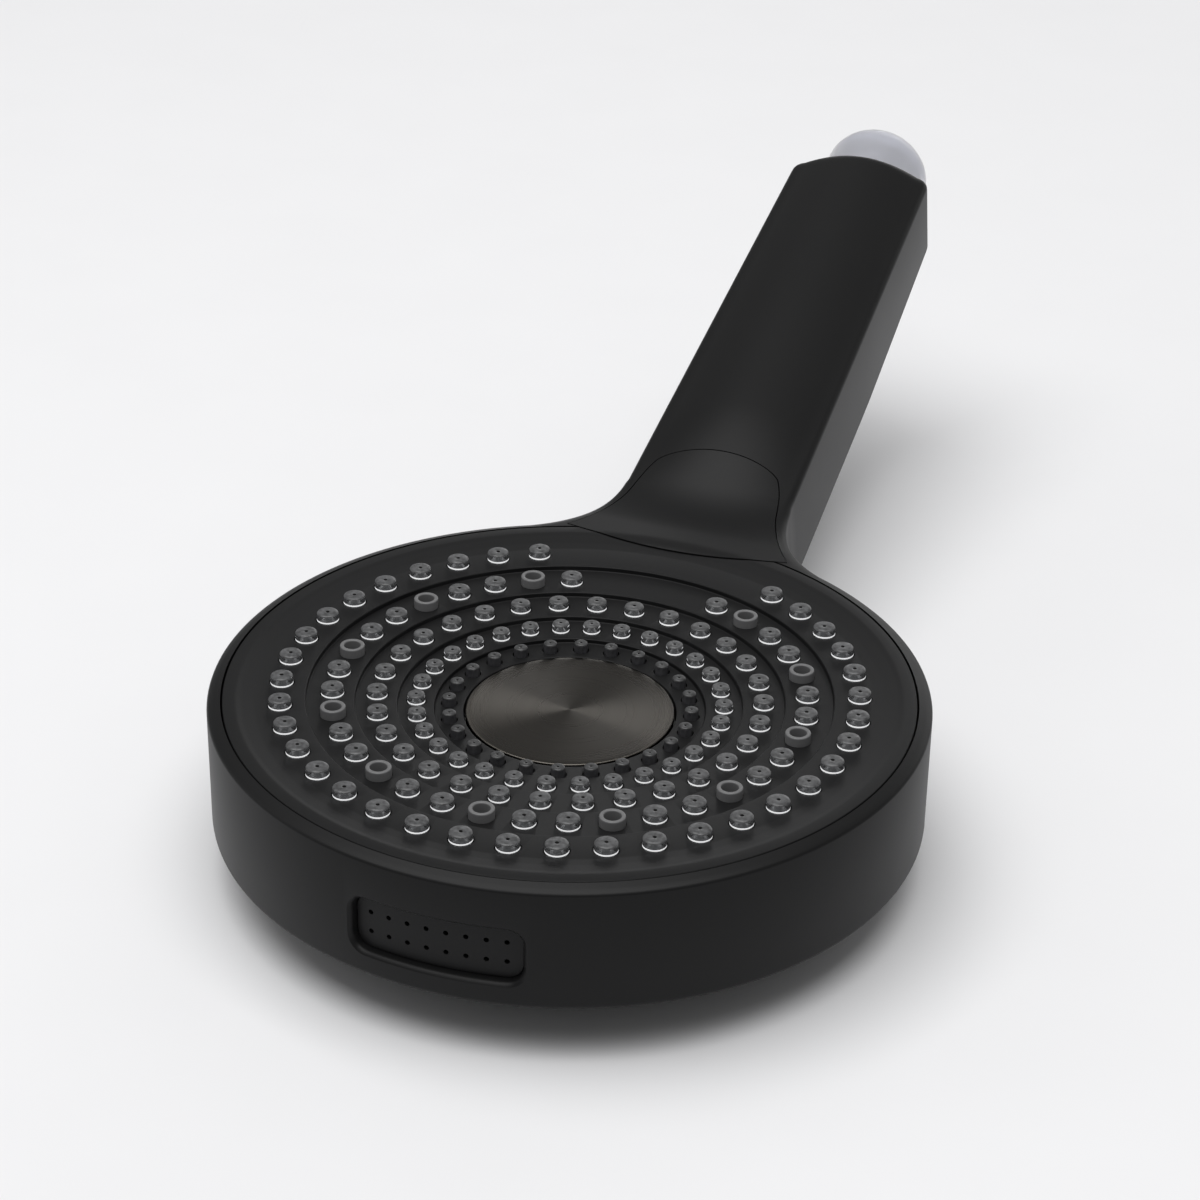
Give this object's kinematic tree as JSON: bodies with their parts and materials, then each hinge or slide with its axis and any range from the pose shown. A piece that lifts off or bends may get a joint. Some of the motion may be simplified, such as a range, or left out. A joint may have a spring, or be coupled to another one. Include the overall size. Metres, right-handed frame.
{
  "type": "handheld shower head",
  "caption": "Round handheld shower head with a stepped spray face, a centre push button, rim side jets, a bent handle and a capped threaded hose inlet.",
  "frame": {"origin": "centre of the flat back of the head, on the head's axis", "axes": "+Z out of the spray face along the head's axis, +Y towards the handle, which rises 15.7 degrees; +X completes the right-handed frame"},
  "size_m": [0.125, 0.2639, 0.0686],
  "materials": {
    "satin_graphite": "satin",
    "black_plate": "satin",
    "trim_graphite": "satin",
    "clear_silicone": "clear, soft",
    "smoky_silicone": "smoky, soft",
    "grey_plastic": "moulded",
    "white_plastic": "moulded",
    "brushed_disc": "spun, circular brushing",
    "brass": "machined",
    "steel": "bright",
    "black_rubber": "matt",
    "milky_cap": "milky, translucent"
  },
  "bodies": {
    "handset": {"handset_shell": "satin_graphite", "faceplate": "black_plate", "side_jet_plate": "black_plate", "neck_trim": "trim_graphite", "nozzle_mat_1": "clear_silicone", "nozzle_mat_2": "clear_silicone", "nozzle_mat_3": "clear_silicone", "nozzle_mat_4": "clear_silicone", "nozzle_mat_5": "smoky_silicone", "mist_nozzles": "grey_plastic", "flow_divider": "grey_plastic", "chamber_back": "grey_plastic", "water_tube": "grey_plastic", "flow_regulator": "grey_plastic", "spray_chamber": "white_plastic", "check_valve_body": "white_plastic", "inlet_fitting": "brass", "chamber_screw_1": "steel", "chamber_screw_2": "steel", "chamber_screw_3": "steel", "chamber_screw_4": "steel", "engine_screw_1": "steel", "engine_screw_2": "steel", "engine_screw_3": "steel", "engine_screw_4": "steel", "button_spring": "steel", "check_valve_spring": "steel", "inlet_strainer": "steel", "chamber_seal": "black_rubber", "side_jet_gasket": "black_rubber", "rotor_seal": "black_rubber", "tube_o_ring_head": "black_rubber", "tube_o_ring_inlet": "black_rubber"},
    "button": {"button_disc": "brushed_disc", "button_carrier": "grey_plastic", "stem_o_ring": "black_rubber"},
    "selector": {"selector_rotor": "white_plastic"},
    "check_valve": {"check_valve_poppet": "grey_plastic"},
    "cap": {"protective_cap": "milky_cap"}
  },
  "joints": [
    {"name": "button_press", "type": "slide", "parent": "handset", "child": "button", "axis": [0, 0, -1], "range_m": [0, 0.0025], "stiffness_N_per_m": 1500, "springref_m": -0.002, "deforming": ["button_spring"]},
    {"name": "selector_turn", "type": "hinge", "parent": "handset", "child": "selector", "pos_m": [0, 0, 0.0095], "axis": [0, 0, 1], "range_deg": [0, 60]},
    {"name": "check_valve_lift", "type": "slide", "parent": "handset", "child": "check_valve", "axis": [0, -0.9627, -0.2706], "range_m": [0, 0.0025], "stiffness_N_per_m": 150, "springref_m": -0.0015, "deforming": ["check_valve_spring"]},
    {"name": "cap_pull", "type": "slide", "parent": "handset", "child": "cap", "axis": [0, 0.9627, 0.2706], "range_m": [0, 0.03]}
  ],
  "couplings": [
    {"joint": "selector_turn", "follows": "button_press", "rad_per_m": 418.8}
  ]
}
